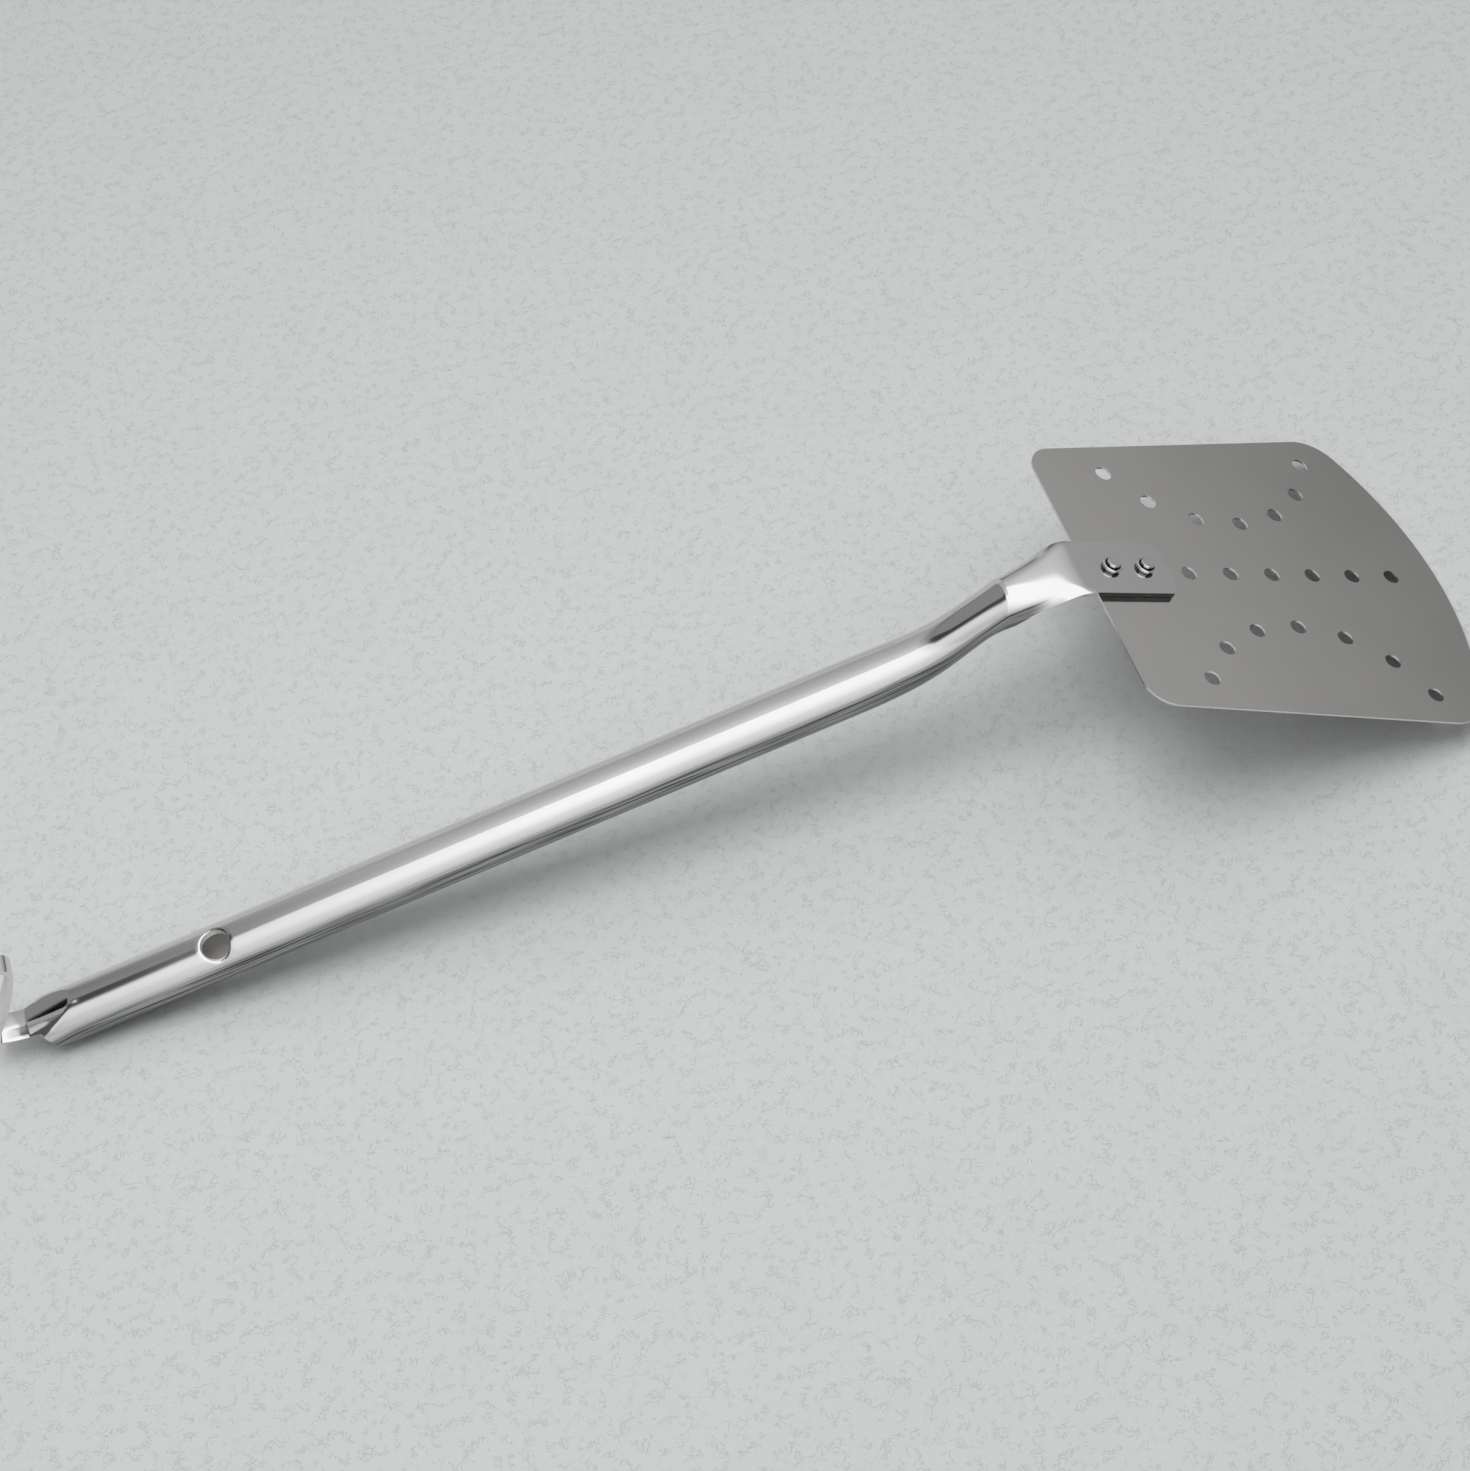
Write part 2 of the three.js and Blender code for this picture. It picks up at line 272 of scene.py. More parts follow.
def polished_steel(name, tone, dull, grain_turn, grain, wave, metal=1.0, shaded_low_side=False, shaded_grooves=False):
    """Polished steel with its grain along a direction in the XZ plane, turned from X."""
    material = bpy.data.materials.new(name)
    board = cleared_board(material)
    place = board.node("ShaderNodeTexCoord", out="Object")
    turned = board.node("ShaderNodeMapping", {}, {"Vector": place, "Rotation": (0.0, grain_turn, 0.0)})
    along = board.node("ShaderNodeMapping", {}, {"Vector": turned, "Scale": GRAIN_SCALE})
    lines = board.node("ShaderNodeTexNoise", {}, {"Vector": along, "Scale": 1.0, "Detail": 3.0})
    patches = board.node("ShaderNodeTexNoise", {}, {"Vector": turned, "Scale": PATCH_SCALE, "Detail": 4.0})
    swell = board.node("ShaderNodeTexNoise", {}, {"Vector": turned, "Scale": SWELL_SCALE, "Detail": 1.0})
    rough = dull * (LEAST_DULL + LINE_DULL * lines + PATCH_DULL * patches)
    shade = LEAST_SHADE + PATCH_SHADE * patches
    if shaded_low_side:
        # Painted shade on the handle's near lower side, in streaks along the tube; its roughness is raised
        # as well.
        low, light = streaks(board)
        shade = shade * (1 - low * (LOW_SIDE_SHADE - LOW_SHADE_CONTRAST * light))
        rough = rough * (1 + STREAK_DULL * low)
    if shaded_grooves:
        # Painted shade: the marked points in the rivets' grooves and at the foot of the flange are
        # darkened.
        grime = board.node("ShaderNodeAttribute", {"attribute_name": "grime"}, out="Fac")
        shade = shade * (1 - GROOVE_SHADE_DARK * grime)
    grey = board.node("ShaderNodeCombineColor", {}, {0: shade, 1: shade, 2: shade})
    colour = board.node(
        "ShaderNodeMix", {"data_type": "RGBA", "blend_type": "MULTIPLY"},
        {0: 1.0, 6: (*tone, 1.0), 7: grey}, out=2,
    )
    fine = board.node("ShaderNodeBump", {}, {"Strength": grain, "Distance": GRAIN_DEPTH, "Height": lines})
    bump = board.node(
        "ShaderNodeBump", {}, {"Strength": wave, "Distance": SWELL_DEPTH, "Height": swell, "Normal": fine}
    )
    steel = board.node(
        "ShaderNodeBsdfPrincipled", {},
        {"Base Color": colour, "Metallic": metal, "Roughness": rough, "Normal": bump},
    )
    board.node("ShaderNodeOutputMaterial", {}, {"Surface": steel})
    print(name, len(board.tree.nodes), "nodes")
    return material


# %% The four finishes
TUBE_SLOPE = math.radians(8.06)
blade_steel = polished_steel(
    "blade_steel", (0.72, 0.712, 0.695), dull=0.11, grain_turn=-TILT, grain=0.1, wave=0.05
)
handle_steel = polished_steel(
    "handle_steel", (0.735, 0.735, 0.73), dull=0.08, grain_turn=TUBE_SLOPE, grain=0.08, wave=0.05,
    shaded_low_side=True,
)
tube_inside = polished_steel(
    "tube_inside", (0.8, 0.79, 0.78), dull=0.6, grain_turn=TUBE_SLOPE, grain=0.2, wave=0.1, metal=0.2
)
rivet_steel = polished_steel(
    "rivet_steel", (0.72, 0.72, 0.715), dull=0.1, grain_turn=0.0, grain=0.08, wave=0.05, shaded_grooves=True
)

# %% [markdown]
# ## Blade: the outline
# The blade is cut from flat sheet. It is wider at the front, its sides are straight, its corners are
# rounded and its front edge is a long arc. It could be traced by eye, but straight sides and true arcs
# that meet smoothly are what the press tool cuts, so the outline is worked out from a few sizes, as one
# closed line.

# %% Blade outline
BLADE_LENGTH, BLADE_THICKNESS, REAR_WIDTH = 125.7, 0.65, 96.7
SIDE_FLARE = math.radians(4.7)
REAR_CORNER, FRONT_CORNER, FRONT_RADIUS = 9.0, 13.0, 105.0
REAR_STEPS, CORNER_STEPS, FRONT_STEPS = 16, 20, 40


def arc(x, y, radius, start, stop, steps):
    angles = [start + (stop - start) * i / steps for i in range(steps + 1)]
    return [(x + radius * math.cos(a), y + radius * math.sin(a)) for a in angles]


def blade_side():
    """The outline on the +Y side, from the rear edge to the middle of the front."""
    cos, sin = math.cos(SIDE_FLARE), math.sin(SIDE_FLARE)
    rear_y = REAR_WIDTH / 2 + REAR_CORNER * (sin - 1) / cos
    front_x = BLADE_LENGTH - FRONT_RADIUS
    # The front corner's centre lies beside the straight side, and touches the front arc from within.
    start = (FRONT_CORNER * sin, REAR_WIDTH / 2 - FRONT_CORNER * cos)
    half = (start[0] - front_x) * cos + start[1] * sin
    square = (start[0] - front_x) ** 2 + start[1] ** 2 - (FRONT_RADIUS - FRONT_CORNER) ** 2
    reach = -half + math.sqrt(half * half - square)
    x, y = start[0] + reach * cos, start[1] + reach * sin
    edge = math.atan2(y, x - front_x)
    square_on = math.pi / 2 + SIDE_FLARE
    return (
        arc(REAR_CORNER, rear_y, REAR_CORNER, math.pi, square_on, REAR_STEPS)
        + arc(x, y, FRONT_CORNER, square_on, edge, CORNER_STEPS)
        + arc(front_x, 0.0, FRONT_RADIUS, edge, 0.0, FRONT_STEPS)[1:]
    )


side = blade_side()
outline = side + [(x, -y) for x, y in reversed(side[:-1])]
print("blade outline:", len(outline), "points, widest", round(2 * max(y for _, y in side), 1), "mm")

# %% [markdown]
# ## Blade: the perforation
# The holes follow a rule: a straight row down the middle and two arcs that bow towards it. They could be
# cut out one by one with booleans, but a geometry tree fits a rule well: it places points, puts a circle
# on each, and fills the outline around them. The sheet then gets its thickness.

# %% Places of the holes
REAR_RIVET, RIVET_PITCH, RIVETS = 7.2, 11.4, 2
HOLES = {
    "Hole diameter": 5.0, "Row holes": 6, "Row start": 34.9, "Row pitch": 14.7,
    "Arc holes": 7, "Arc radius": 42.8, "Arc step": math.radians(20.6), "Arc lean": math.radians(5.1),
    "Arc centre X": 59.4, "Arc centre Y": 63.0,
    "Rivet hole": 3.7, "Rear rivet": REAR_RIVET, "Rivet pitch": RIVET_PITCH, "Thickness": BLADE_THICKNESS,
}
RING_POINTS, MERGED = 48, 0.001
hole_inputs = [(name, "Int" if isinstance(value, int) else "Float") for name, value in HOLES.items()]
perforation = geometry_tree("perforation", hole_inputs + [("Steel", "Material")])
given = perforation.node("NodeGroupInput")


def spot_at(x, y=0.0, z=0.0):
    return perforation.node("ShaderNodeCombineXYZ", {}, {0: x, 1: y, 2: z})


def line_of(count, start, pitch):
    sockets = {"Count": count, "Start Location": spot_at(start), "Offset": spot_at(pitch)}
    return perforation.node("GeometryNodeMeshLine", {}, sockets)


number = perforation.node("GeometryNodeInputIndex")
turn = given.out("Arc lean") + (number - (given.out("Arc holes") - 1) / 2) * given.out("Arc step")
arc_x = given.out("Arc centre X") + given.out("Arc radius") * turn.sum("SINE", turn)
arc_y = given.out("Arc centre Y") - given.out("Arc radius") * turn.sum("COSINE", turn)
bow = perforation.node(
    "GeometryNodeSetPosition", {},
    {"Geometry": line_of(given.out("Arc holes"), 0.0, 1.0), "Position": spot_at(arc_x, arc_y)},
)
other_bow = perforation.node("GeometryNodeTransform", {}, {"Geometry": bow, "Scale": (1.0, -1.0, 1.0)})
row = line_of(given.out("Row holes"), given.out("Row start"), given.out("Row pitch"))
rivet_line = line_of(RIVETS, given.out("Rear rivet"), given.out("Rivet pitch"))
print("holes:", HOLES["Row holes"] + 2 * HOLES["Arc holes"], "and", RIVETS, "for the rivets")

# %% Sheet around the holes
def joined(pieces):
    """One geometry out of several."""
    both = perforation.node("GeometryNodeJoinGeometry")
    for piece in pieces:
        perforation.tree.links.new(piece.socket, both.socket.node.inputs[0])
    return both


def ring_on(points, width):
    size = {"Resolution": RING_POINTS, "Radius": width / 2}
    ring = perforation.node("GeometryNodeCurvePrimitiveCircle", {}, size)
    return perforation.node("GeometryNodeInstanceOnPoints", {}, {"Points": points, "Instance": ring})


curves = joined([
    perforation.node("GeometryNodeMeshToCurve", {}, {"Mesh": given}),
    ring_on(row, given.out("Hole diameter")),
    ring_on(bow, given.out("Hole diameter")),
    ring_on(other_bow, given.out("Hole diameter")),
    ring_on(rivet_line, given.out("Rivet hole")),
])
cut_lines = perforation.node("GeometryNodeRealizeInstances", {}, {"Geometry": curves})
upper = perforation.node("GeometryNodeFillCurve", {}, {"Curve": cut_lines})
sheet_deep = spot_at(0.0, 0.0, 0.0 - given.out("Thickness"))
sunk = perforation.node("GeometryNodeTransform", {}, {"Geometry": upper, "Translation": sheet_deep})
lower = perforation.node("GeometryNodeFlipFaces", {}, {"Mesh": sunk})
raised = perforation.node(
    "GeometryNodeExtrudeMesh", {},
    {"Mesh": sunk, "Offset": (0.0, 0.0, 1.0), "Offset Scale": given.out("Thickness"), "Individual": False},
)
closed = perforation.node(
    "GeometryNodeMergeByDistance", {}, {"Geometry": joined([lower, raised]), "Distance": MERGED}
)
whole = perforation.node("GeometryNodeRealizeInstances", {}, {"Geometry": closed})
coating = {"Geometry": whole, "Material": given.out("Steel")}
coated = perforation.node("GeometryNodeSetMaterial", {}, coating)
perforation.node("NodeGroupOutput", {}, {0: coated})
print("perforation tree:", len(perforation.tree.nodes), "nodes")

# %% [markdown]
# ## Blade: the sheet
# On the real blade the cut edges are smoothed, and the rims of the holes catch the light. The outline goes
# through the tree, and a small bevel softens every cut edge, which is simpler than drawing each rim.

# %% Blade
BLADE_RIM, BLADE_RIM_TURN = 0.12, 50
drawn = new_piece(
    "blade_outline",
    [(x, y, 0.0) for x, y in outline],
    [(i, (i + 1) % len(outline)) for i in range(len(outline))],
    [],
)
run_tree(drawn, perforation, {**HOLES, "Steel": blade_steel})
round_edges(drawn, BLADE_RIM, BLADE_RIM_TURN)
blade = made_plain(drawn, "perforated_blade")

# %% [markdown]
# ## Handle: the run
# The whole handle is one strip of sheet. Seen from the side its middle line is a chain of straight legs
# and bends: flat tang, bend, a level crest, a crease, a neck that sweeps back, a long tube, a pressed
# taper, a kink, a short tongue that sweeps up, a tight fold, the leg of the hook and its curl. A curve
# object could hold the line, but a list of lengths and turns is how such a strip is bent, and each run
# can be changed by itself.

# %% Handle run
SHEET, CLEARANCE = 1.6, 0.25
TANG_LAP, TANG_OVERHANG, CREST, NECK = 26.7, 4.6, 13.5, 14.0
TUBE_LENGTH, TAPER, KINK, TONGUE, HOOK_LEG = 251.883, 14.3, 1.2, 6.3, 26.5
TANG_BEND, CREASE_BEND, SWEEP_BEND, FOLD_BEND, CURL_BEND = 14.6, 5.0, 60.0, 1.8, 3.0
TUBE_TURN, CREST_TURN, CREASE_TURN = math.radians(35.6), math.radians(4.0), math.radians(22.941)
SWEEP_BACK = TUBE_TURN - TILT - CREST_TURN - CREASE_TURN
KINK_TURN, TONGUE_SWEEP, FOLD_TURN = math.radians(-10.0), math.radians(-20.0), math.radians(-103.0)
LEG_BOW, CURL_TURN = math.radians(16.0), math.radians(120.0)
CHAIN = [
    ("tang", TANG_LAP + TANG_OVERHANG, 0.0),
    ("tang_bend", TANG_BEND * TILT, TILT),
    ("crest", CREST, CREST_TURN),
    ("crease", CREASE_BEND * CREASE_TURN, CREASE_TURN),
    ("neck", NECK, 0.0),
    ("sweep", -SWEEP_BEND * SWEEP_BACK, SWEEP_BACK),
    ("tube", TUBE_LENGTH, 0.0),
    ("taper", TAPER, 0.0),
    ("kink", KINK, KINK_TURN),
    ("tongue", TONGUE, TONGUE_SWEEP),
    ("fold", -FOLD_BEND * FOLD_TURN, FOLD_TURN),
    ("leg", HOOK_LEG, LEG_BOW),
    ("curl", CURL_BEND * CURL_TURN, CURL_TURN),
]
Run = namedtuple("Run", "name length turn x z heading begun")


def onward(run, distance):
    """Place and heading at a distance into a run."""
    if run.turn == 0.0:
        x = run.x + distance * math.cos(run.heading)
        return x, run.z + distance * math.sin(run.heading), run.heading
    bend = run.turn / run.length
    now = run.heading + bend * distance
    x = run.x + (math.sin(now) - math.sin(run.heading)) / bend
    return x, run.z - (math.cos(now) - math.cos(run.heading)) / bend, now


runs, ends = [], {}
x, z, heading, begun = TANG_LAP, CLEARANCE + SHEET / 2, math.pi, 0.0
for name, length, turn in CHAIN:
    runs.append(Run(name, length, turn, x, z, heading, begun))
    x, z, heading = onward(runs[-1], length)
    begun += length
    ends[name] = begun
print("strip length:", round(begun, 1), "mm, crease ends at", round(ends["crease"], 1))

# %% [markdown]
# ## Handle: the section
# Across its width the strip is flat at the tang. Over the crest its sides roll down while the middle
# stays nearly flat, the neck is a slim round with its edges underneath, and the tube closes until the
# edges meet. Sections could be drawn one by one and lofted, but on a mirror finish every uneven step
# would show. One rule gives the section anywhere: arcs joined end to end from the middle outwards, each
# with its curvature and its length.

# %% Easing
TINY = 1e-6


def clamp(value):
    return min(max(value, 0.0), 1.0)


def smooth(start, stop, at):
    share = clamp((at - start) / (stop - start))
    return share * share * (3 - 2 * share)


def mix(first, second, share):
    return first + (second - first) * share


# %% Section from the tang to the tube
TUBE, SEAM_GAP, TANG_WIDTH = 16.0, 1.2, 19.5
CREST_CROWN, WAIST, NECK_WRAP = 30.0, 1.25, 4.5
# The flat middle narrows over a stretch that ends just ahead of the end of the crease.
ROLLING, ROLLED_BEFORE, ROLLING_POWER = 24.0, 2.0, 1.5
# Stretches along the strip over which the other forms come in, or go out again.
CROWNED, WRAPPED, CLOSED = (31, 42), (42, 58), (60, 125)
WAIST_IN, WAIST_OUT = (45, 60), (64, 100)
# The last arc is longer than any strip is wide, so it runs on to the edge.
TO_THE_EDGE = 99.0
middle = (TUBE - SHEET) / 2
seam_angle = math.pi - SEAM_GAP / 2 / middle


def front_section(at):
    """Half width, arcs from the middle outwards, and no sinking."""
    unrolled = clamp((ends["crease"] - ROLLED_BEFORE - at) / ROLLING)
    flat = TANG_WIDTH / 2 * unrolled ** ROLLING_POWER
    waist = WAIST * smooth(*WAIST_IN, at) * (1 - smooth(*WAIST_OUT, at))
    half = TANG_WIDTH / 2 + NECK_WRAP * smooth(*WRAPPED, at)
    half = mix(half, seam_angle * middle, smooth(*CLOSED, at))
    crest = (smooth(*CROWNED, at) / CREST_CROWN, min(flat, half))
    return half, [crest, (1 / (middle - waist), TO_THE_EDGE)], 0.0


print("half width at the tang and in the tube:", [round(front_section(at)[0], 2) for at in (0.0, 200.0)])

# %% [markdown]
# ## Handle: the pressed tail
# At the tail the tube's top is pressed down to a shallow arc between two ridges, and its walls run out
# until only that top is left, as the tongue and the hook. The same rule of arcs gives it: the shallow
# arc, a tight ridge that touches both its neighbours, and the round wall.

# %% Section of the tail
SINK, RIDGE, PRESS_CROWN, FLAT_CROWN = 3.0, 1.0, 14.0, 200.0
WALL_END, WALL_LEAD = 12.0, 3.0
NARROW_LEAD, NARROW_LAG, FLATTEN = 7.0, 1.0, 6.0
TONGUE_WIDTH, RIDGE_ROOM, HOOK_WIDTH = 9.9, 0.4, 5.6


def tail_section(at):
    """Half width, arcs from the middle outwards, and how far the top sinks."""
    sink = SINK * clamp((at - ends["tube"]) / TAPER)
    narrowed = smooth(ends["taper"] - NARROW_LEAD, ends["taper"] + NARROW_LAG, at)
    wide = mix(middle, TONGUE_WIDTH / 2 + RIDGE_ROOM, narrowed)
    crown = mix(PRESS_CROWN, FLAT_CROWN, smooth(ends["fold"], ends["fold"] + FLATTEN, at))
    # The ridge touches the crown's circle and the wall's circle from within, which places its centre.
    apart = crown - wide + sink
    up = ((crown - RIDGE) ** 2 - (wide - RIDGE) ** 2 - apart ** 2) / (2 * apart)
    out = math.sqrt(max((wide - RIDGE) ** 2 - up * up, 0.0))
    inner, outer = math.atan2(out, up + apart), math.atan2(out, up)
    top, rounding = crown * inner, RIDGE * (outer - inner)
    walls = 1 - clamp((at - ends["taper"] + WALL_LEAD) / WALL_END + 1) ** 2
    half = top + walls * (rounding + (seam_angle - outer) * wide)
    if at > ends["tongue"]:
        half = mix(half, HOOK_WIDTH / 2, smooth(ends["tongue"], ends["leg"] - HOOK_LEG / 4, at))
    return half, [(1 / crown, min(top, half)), (1 / RIDGE, rounding), (1 / wide, TO_THE_EDGE)], sink


def section(at):
    return tail_section(at) if at > ends["taper"] - WALL_END - WALL_LEAD else front_section(at)


print("half width of the tongue:", round(section(ends["tongue"])[0], 2), "mm")

# %% [markdown]
# ## Handle: a point of the strip
# A point is known by how far it is along the strip, how far across, and whether it is outside or inside
# the sheet. The run gives the place along, the section's arcs the place across. Ahead of the tube the
# section leans back evenly, whatever the middle line does, so that its bends don't fold the sides into
# each other.

# %% Skin of the strip
LEAN_LEAD = 3.0
tube_heading = next(run.heading for run in runs if run.name == "tube")
tube_up = Vector((math.sin(tube_heading), 0.0, -math.cos(tube_heading)))


def bent(arcs, reach):
    """Follows the arcs as far as the reach: how far out and how far down that is, and the lean there."""
    wide = drop = lean = 0.0
    for bend, length in arcs:
        step = min(length, reach)
        after = lean + bend * step
        if abs(bend) > TINY:
            wide += (math.sin(after) - math.sin(lean)) / bend
            drop += (math.cos(lean) - math.cos(after)) / bend
        else:
            wide += step * math.cos(lean)
            drop += step * math.sin(lean)
        lean = after
        reach -= step
    return wide, drop, lean


def skin(at, reach, layer, dish=0.0):
    """A point of the strip: layer 1 is its outside and -1 its inside."""
    run = next(run for run in runs if at <= run.begun + run.length + TINY)
    x, z, heading = onward(run, at - run.begun)
    if at < ends["sweep"]:
        heading = math.pi + TUBE_TURN * smooth(ends["tang"] - LEAN_LEAD, ends["sweep"], at)
    up = Vector((math.sin(heading), 0.0, -math.cos(heading)))
    _, arcs, sink = section(at)
    wide, drop, lean = bent(arcs, abs(reach))
    sign = math.copysign(1.0, reach)
    out = up * math.cos(lean) + Vector((0.0, sign * math.sin(lean), 0.0))
    return Vector((x, sign * wide, z)) - up * drop - tube_up * sink + out * (layer * SHEET / 2 - dish)


print("top of the tube's start:", [round(v, 2) for v in skin(ends["sweep"], 0.0, 1)])

# %% [markdown]
# ## Handle: the net of points
# The strip is covered by a net of points: rows across it, closer together at the bends. The hang hole
# could be drilled afterwards with a boolean, but that leaves ragged shading on a mirror finish. The net
# has a square window there instead, filled by rings of points that go from the square to the round hole
# and its small dish.

# %% Rows of the net
ACROSS = 64
ROW_STEPS = {
    "tang": 1.0, "tang_bend": 0.4, "crest": 0.4, "crease": 0.2, "neck": 0.7, "sweep": 0.7, "tube": 1.6,
    "taper": 0.4, "kink": 0.2, "tongue": 0.4, "fold": 0.2, "leg": 1.2, "curl": 0.5,
}
FRONT_ROUND, FRONT_ROOM, FRONT_SHARES = 22.0, 4.0, (0.0, 0.1, 0.25, 0.5, 0.75)
TIP_ROOM, TIP_SHARES = 4.5, (0.25, 0.5, 0.75, 0.9, 1.0)
# A row just ahead of the tube's end lets the press begin sharply.
PRESS_LINE = ends["tube"] - 0.2
# The window for the hang hole reaches so far along on either side, and takes these columns across.
HOLE_FROM_TAIL = 44.1
HOLE_AT = ends["tube"] - HOLE_FROM_TAIL
WINDOW, WINDOW_GAP, FIRST, LAST = 8.6, 1.0, 18, 39


def rows_along():
    """Distances along the strip, between the round front of the tang and the round tip of the hook."""
    places = []
    for run in runs:
        start = max(run.begun, FRONT_ROOM)
        stop = run.begun + run.length - (TIP_ROOM if run.name == "curl" else 0.0)
        count = max(1, round((stop - start) / ROW_STEPS[run.name]))
        places += [start + (stop - start) * i / count for i in range(count)]
    places = [at for at in places if abs(at - HOLE_AT) > WINDOW + WINDOW_GAP] + [PRESS_LINE]
    places += [HOLE_AT + WINDOW * (2 * i / (LAST - FIRST) - 1) for i in range(LAST - FIRST + 1)]
    return sorted(set(round(at, 5) for at in places)) + [ends["curl"] - TIP_ROOM]


def net_rows():
    """Rows of places on the strip: distance along, reach across."""
    shares = [2 * i / ACROSS - 1 for i in range(ACROSS + 1)]
    reaches = [share * TANG_WIDTH / 2 for share in shares]
    fronts = [FRONT_ROUND - math.sqrt(FRONT_ROUND ** 2 - w * w) for w in reaches]
    rows = [[(mix(front, FRONT_ROOM, q), w) for front, w in zip(fronts, reaches)] for q in FRONT_SHARES]
    rows += [[(at, share * section(at)[0]) for share in shares] for at in rows_along()]
    tip, tip_start = HOOK_WIDTH / 2, ends["curl"] - TIP_ROOM
    tips = [(ends["curl"] - tip * (1 - math.sqrt(1 - share * share)), share * tip) for share in shares]
    rows += [[(mix(tip_start, at, q), w) for at, w in tips] for q in TIP_SHARES]
    return rows


rows = net_rows()
print("net:", len(rows), "rows of", ACROSS + 1)

# %% Net with its hang hole
HOLE_TURN, HOLE_RADIUS = math.radians(18.0), 4.25
DISH_WIDTH, DISH_DEPTH = 0.6, 0.3
RINGS, SPREAD = 12, 4


def hole_ring(ring, window):
    """Places on a ring round the hang hole, between the window's edge (0) and the hole's rim (RINGS)."""
    centre = -HOLE_TURN * middle
    span = HOLE_RADIUS + DISH_WIDTH * clamp((RINGS - ring) / (RINGS - SPREAD))
    depth = DISH_DEPTH * clamp((ring - SPREAD) / (RINGS - SPREAD)) ** 2
    share = clamp(ring / SPREAD)
    made = []
    for at, w, _ in window:
        angle = math.atan2(w - centre, at - HOLE_AT)
        round_at = HOLE_AT + span * math.cos(angle)
        round_w = centre + middle * math.asin(span * math.sin(angle) / middle)
        made.append((mix(at, round_at, share), mix(w, round_w, share), depth))
    return made


def strip_net():
    """Places (distance along, reach across, dish), the faces between them, and the hole's first place."""
    places = [(at, w, 0.0) for row in rows for at, w in row]
    wide, count = ACROSS + 1, LAST - FIRST
    top = next(i for i, row in enumerate(rows) if abs(row[0][0] - (HOLE_AT - WINDOW)) < MERGED)
    faces = []
    for r in range(len(rows) - 1):
        for i in range(ACROSS):
            if top <= r < top + count and FIRST <= i < LAST:
                continue
            corner = r * wide + i
            faces.append((corner, corner + 1, corner + wide + 1, corner + wide))
    loop = [top * wide + i for i in range(FIRST, LAST)]
    loop += [(top + r) * wide + LAST for r in range(count)]
    loop += [(top + count) * wide + i for i in range(LAST, FIRST, -1)]
    loop += [(top + r) * wide + FIRST for r in range(count, 0, -1)]
    window = [places[corner] for corner in loop]
    outer = loop
    for ring in range(1, RINGS + 1):
        inner = list(range(len(places), len(places) + len(loop)))
        places += hole_ring(ring, window)
        for i in range(len(loop)):
            faces.append((outer[i - 1], outer[i], inner[i], inner[i - 1]))
        outer = inner
    return places, faces, outer[0]


places, faces, hole_rim = strip_net()
print("net:", len(places), "places", len(faces), "faces")

# %% [markdown]
# ## Handle: the sheet
# The net could be one layer with a Solidify modifier, but that has to guess which way the thickness goes
# at the tight ridges and at the free edges. The section knows it, so the net is laid twice, once outside
# and once inside the sheet, and every free edge is closed by a wall. The strip is then one closed body of
# the real thickness, and a bevel rounds the cut edges.

# %% Handle
HANDLE_RIM, HANDLE_RIM_TURN = 0.28, 45
NET_UNIT, WELDED = 100, 0.0005
count = len(places)
points = [skin(at, w, layer, dish) for layer in (1, -1) for at, w, dish in places]
used = {(face[i - 1], face[i]) for face in faces for i in range(4)}
free = sorted((a, b) for a, b in used if (b, a) not in used)
walls = [(b, a, a + count, b + count) for a, b in free]
inside = [tuple(reversed([corner + count for corner in face])) for face in faces]
drawn = new_piece("handle_net", points, [], faces + inside + walls)
drawn.data.materials.append(handle_steel)
drawn.data.materials.append(tube_inside)
for face in drawn.data.polygons[len(faces):]:
    face.material_index = int(face.index < 2 * len(faces) or min(face.vertices) >= hole_rim)
net_map = drawn.data.uv_layers.new(name="net")
for loop in drawn.data.loops:
    at, w, _ = places[loop.vertex_index % count]
    net_map.data[loop.index].uv = (at / NET_UNIT, w / NET_UNIT)
work = bmesh.new()
work.from_mesh(drawn.data)
bmesh.ops.remove_doubles(work, verts=work.verts, dist=WELDED)
bmesh.ops.dissolve_degenerate(work, edges=work.edges, dist=WELDED)
bmesh.ops.recalc_face_normals(work, faces=work.faces)
work.to_mesh(drawn.data)
work.free()
drawn.data.shade_smooth()
round_edges(drawn, HANDLE_RIM, HANDLE_RIM_TURN)
handle = made_plain(drawn, "formed_handle")

# %% [markdown]
# ## Rivets: the shape
# Two solid rivets clamp the tang on the blade. Each upper head is a flange with a boss on it, and a
# groove between the two. A rivet is a turned shape, so one profile is spun round its axis, which keeps
# every tier round. Points in the groove and under the flange are marked for painted shade, which darkens
# them.

# %% Rivet profile
SEAT, UNDER = CLEARANCE + SHEET + CLEARANCE, -BLADE_THICKNESS - CLEARANCE
HEAD, FLANGE, BOSS, HEAD_HEIGHT, CAP = 3.0, 1.0, 1.95, 2.0, 0.36
BASE, BASE_HEIGHT, SHANK, GROOVE, FOOT, SHOULDER = 3.0, 0.8, 1.6, 2.4, 0.2, 0.3
quarter = [math.pi / 2 * i / 8 for i in range(9)]


def shoulder(radius, height):
    """A quarter round from a wall of that radius to a top at that height."""
    return [
        (radius - SHOULDER * (1 - math.cos(a)), height - SHOULDER * (1 - math.sin(a))) for a in quarter
    ]


